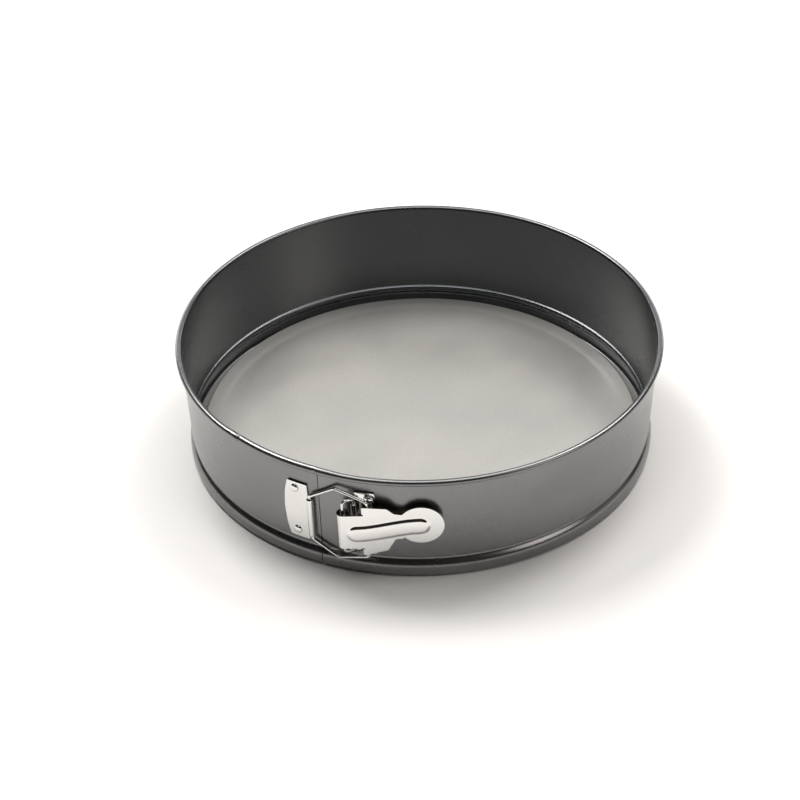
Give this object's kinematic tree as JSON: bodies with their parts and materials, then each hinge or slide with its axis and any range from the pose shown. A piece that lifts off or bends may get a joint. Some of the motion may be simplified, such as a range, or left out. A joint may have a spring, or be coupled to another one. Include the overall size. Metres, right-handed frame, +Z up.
{
  "type": "springform pan",
  "caption": "Round springform cake pan: tapered non-stick band with curled rim, loose base plate and a riveted over-centre latch.",
  "frame": {"origin": "middle of the circle that the pan stands on, at the level of its resting lip", "axes": "+Z up along the pan's axis; the band's seam and the latch are at the front, on -Y; +X to the right seen from the front"},
  "size_m": [0.2668, 0.2713, 0.0662],
  "materials": {
    "band_coating": "satin dark grey non-stick coating",
    "base_coating": "satin dark grey non-stick coating",
    "latch_plating": "bright nickel plate",
    "wire_plating": "bright nickel-plated wire"
  },
  "bodies": {
    "pan_back": {"band_back": "band_coating", "base_plate": "base_coating"},
    "left_end": {"band_left": "band_coating", "strike_plate": "latch_plating", "strike_rivet_upper": "latch_plating", "strike_rivet_lower": "latch_plating"},
    "right_end": {"band_right": "band_coating", "bracket": "latch_plating", "bracket_rivet_upper": "latch_plating", "bracket_rivet_lower": "latch_plating"},
    "latch_link": {"link": "wire_plating"},
    "latch_lever": {"lever": "latch_plating"},
    "latch_bail": {"bail": "wire_plating"}
  },
  "joints": [
    {"name": "left_spring", "type": "hinge", "parent": "pan_back", "child": "left_end", "pos_m": [-0.1339, 0, 0], "axis": [0, 0, -1], "range_deg": [0, 3.56]},
    {"name": "right_spring", "type": "hinge", "parent": "pan_back", "child": "right_end", "pos_m": [0.1339, 0, 0], "axis": [0, 0, 1], "range_deg": [0, 3.56]},
    {"name": "bail_pivot", "type": "hinge", "parent": "left_end", "child": "latch_bail", "pos_m": [-0.00434, -0.13073, 0.03491], "axis": [0, 0.0523, -0.9986], "range_deg": [0, 18.1]},
    {"name": "link_pivot", "type": "hinge", "parent": "right_end", "child": "latch_link", "pos_m": [0.02, -0.12921, 0.03499], "axis": [0, 0.0523, -0.9986], "range_deg": [0, 12.1]},
    {"name": "lever_pivot", "type": "hinge", "parent": "latch_link", "child": "latch_lever", "pos_m": [0.01582, -0.13408, 0.03473], "axis": [0, 0.0523, -0.9986], "range_deg": [0, 157]}
  ],
  "couplings": [
    {"joint": "left_spring", "follows": "lever_pivot", "ratio": 0.02263},
    {"joint": "right_spring", "follows": "lever_pivot", "ratio": 0.02263},
    {"joint": "bail_pivot", "follows": "lever_pivot", "ratio": 0.11465},
    {"joint": "link_pivot", "follows": "lever_pivot", "ratio": 0.07643}
  ]
}
